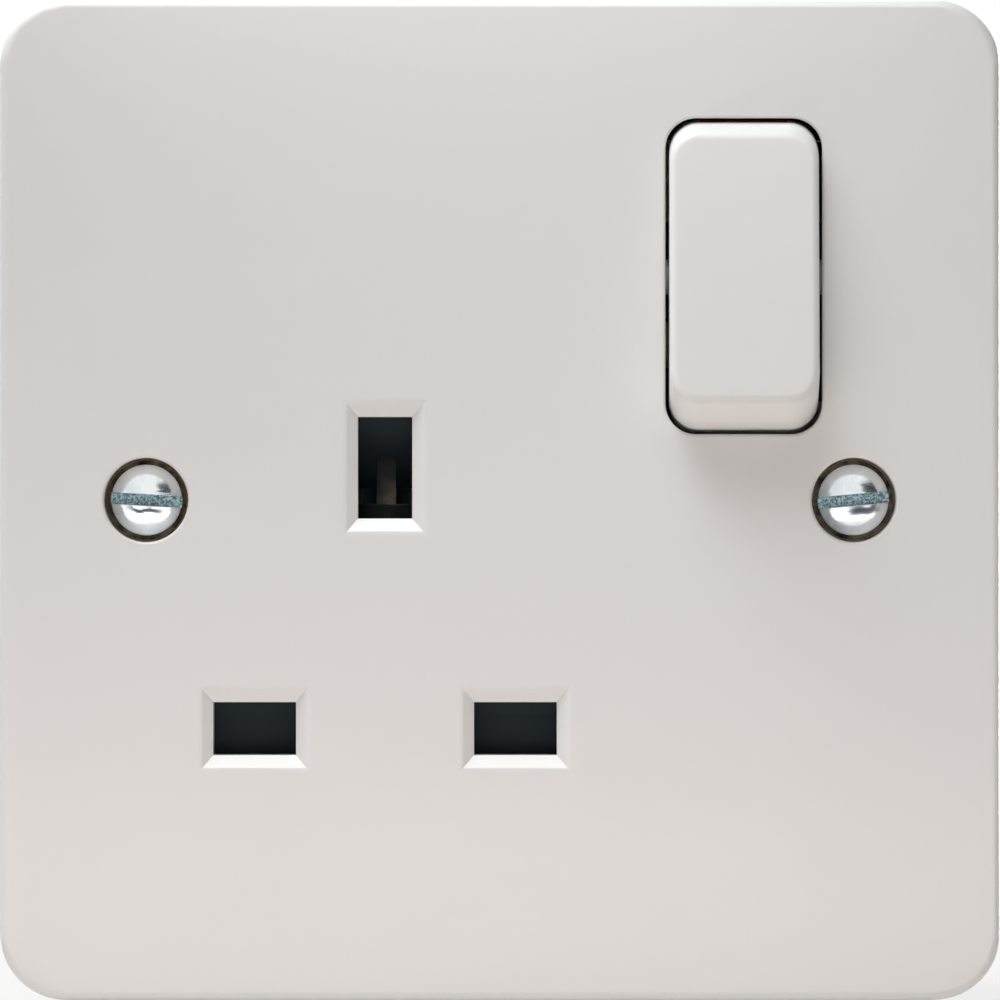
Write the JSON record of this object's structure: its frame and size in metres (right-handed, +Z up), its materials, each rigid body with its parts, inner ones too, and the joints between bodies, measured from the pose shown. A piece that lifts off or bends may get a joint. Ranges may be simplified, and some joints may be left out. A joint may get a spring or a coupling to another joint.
{
  "type": "switched wall socket",
  "caption": "Square white wall socket with a rocker switch, bevelled shuttered pin openings and recessed slotted fixing screws, on a moulded base that holds clips, terminals and switch arms.",
  "frame": {"origin": "centre of the faceplate in the wall plane, at the back of its rim", "axes": "+X to the right seen from the room, +Y into the wall, +Z up"},
  "size_m": [0.086, 0.0329, 0.086],
  "materials": {
    "white_moulding": "smooth moulded urea, soft gloss",
    "rocker_white": "smooth moulded, soft gloss",
    "flag_red": "red marker",
    "base_dark": "dark moulded thermoset",
    "shutter_black": "black moulded nylon",
    "plunger_nylon": "natural nylon",
    "spring_steel": "bright spring wire",
    "brass": "rolled and turned brass",
    "silver": "silver contact tips",
    "zinc_steel": "bright zinc plate"
  },
  "bodies": {
    "housing": {"front_plate": "white_moulding", "rear_base": "base_dark", "shutter_deck": "shutter_black", "shutter_spring": "spring_steel", "live_fixed_tip": "silver", "neutral_fixed_tip": "silver", "live_terminal": "brass", "neutral_terminal": "brass", "earth_terminal": "brass", "live_contact": "brass", "neutral_contact": "brass", "earth_contact": "brass", "earth_strap": "brass", "fixing_eyelets": "brass", "fixing_screws": "zinc_steel", "terminal_screws": "zinc_steel", "assembly_screws": "zinc_steel"},
    "rocker": {"rocker": "rocker_white", "on_flag": "flag_red", "live_plunger_spring": "spring_steel", "neutral_plunger_spring": "spring_steel"},
    "live_plunger": {"live_plunger": "plunger_nylon"},
    "neutral_plunger": {"neutral_plunger": "plunger_nylon"},
    "live_arm": {"live_switch_arm": "brass", "live_moving_tip": "silver"},
    "neutral_arm": {"neutral_switch_arm": "brass", "neutral_moving_tip": "silver"},
    "shutter": {"shutter": "shutter_black"}
  },
  "joints": [
    {"name": "rocker_tilt", "type": "hinge", "parent": "housing", "child": "rocker", "pos_m": [0.02076, -0.0055, 0.01906], "axis": [1, 0, 0], "range_deg": [0, 16.8]},
    {"name": "live_plunger_slide", "type": "slide", "parent": "rocker", "child": "live_plunger", "axis": [0, -0.9893, 0.1461], "range_m": [0, 0.0008], "stiffness_N_per_m": 300, "springref_m": -0.002, "deforming": ["live_plunger_spring"]},
    {"name": "live_arm_swing", "type": "hinge", "parent": "housing", "child": "live_arm", "pos_m": [0.02406, 0.0055, 0.01906], "axis": [1, 0, 0], "range_deg": [-14, 0]},
    {"name": "neutral_plunger_slide", "type": "slide", "parent": "rocker", "child": "neutral_plunger", "axis": [0, -0.9893, 0.1461], "range_m": [0, 0.0008], "stiffness_N_per_m": 300, "springref_m": -0.002, "deforming": ["neutral_plunger_spring"]},
    {"name": "neutral_arm_swing", "type": "hinge", "parent": "housing", "child": "neutral_arm", "pos_m": [0.01746, 0.0055, 0.01906], "axis": [1, 0, 0], "range_deg": [-14, 0]},
    {"name": "shutter_lift", "type": "slide", "parent": "housing", "child": "shutter", "axis": [0, 0, 1], "range_m": [0, 0.0059], "stiffness_N_per_m": 150, "springref_m": -0.006, "deforming": ["shutter_spring"]}
  ],
  "couplings": [
    {"joint": "live_arm_swing", "follows": "rocker_tilt", "ratio": -0.8333},
    {"joint": "neutral_arm_swing", "follows": "rocker_tilt", "ratio": -0.8333}
  ]
}
